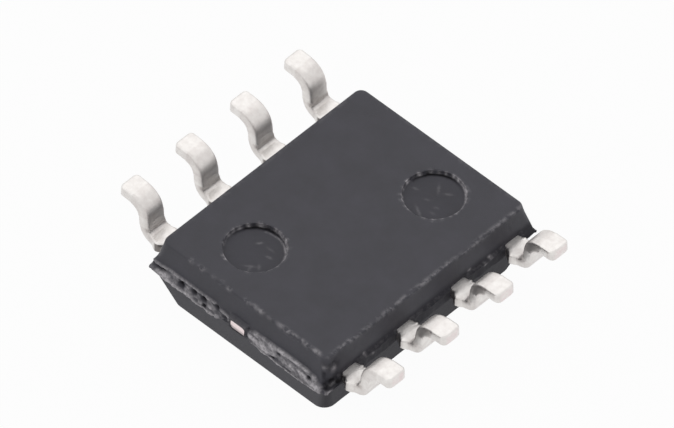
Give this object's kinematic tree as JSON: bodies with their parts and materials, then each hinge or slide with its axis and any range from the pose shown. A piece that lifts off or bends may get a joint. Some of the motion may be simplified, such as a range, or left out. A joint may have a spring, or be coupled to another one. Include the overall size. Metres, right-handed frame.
{
  "type": "soic chip",
  "caption": "Small-outline surface-mount chip with two rows of gull-wing leads, lying on its marked face with its feet up.",
  "frame": {"origin": "centre of the marked face, on the surface that the chip lies on", "axes": "+Z from the marked face to the board side with the feet, +X along the leads of one row, +Y along the rows of leads"},
  "size_m": [0.006, 0.005, 0.0017],
  "materials": {
    "mould_compound": "fine matte, moulded, torn along the parting line of the short ends",
    "tin_plate": "matte tin over copper alloy, bright at the bends",
    "frame_copper": "bare copper alloy, bright where it is cut",
    "silver_adhesive": "silver-filled adhesive",
    "silicon": "polished silicon",
    "gold": "bright drawn gold"
  },
  "bodies": {
    "root": {"mould_body": "mould_compound", "die_paddle": "frame_copper", "die_attach": "silver_adhesive", "silicon_die": "silicon", "lead_1": "tin_plate", "lead_2": "tin_plate", "lead_3": "tin_plate", "lead_4": "tin_plate", "lead_5": "tin_plate", "lead_6": "tin_plate", "lead_7": "tin_plate", "lead_8": "tin_plate", "bond_wire_1": "gold", "bond_wire_2": "gold", "bond_wire_3": "gold", "bond_wire_4": "gold", "bond_wire_5": "gold", "bond_wire_6": "gold", "bond_wire_7": "gold", "bond_wire_8": "gold"}
  },
  "joints": []
}
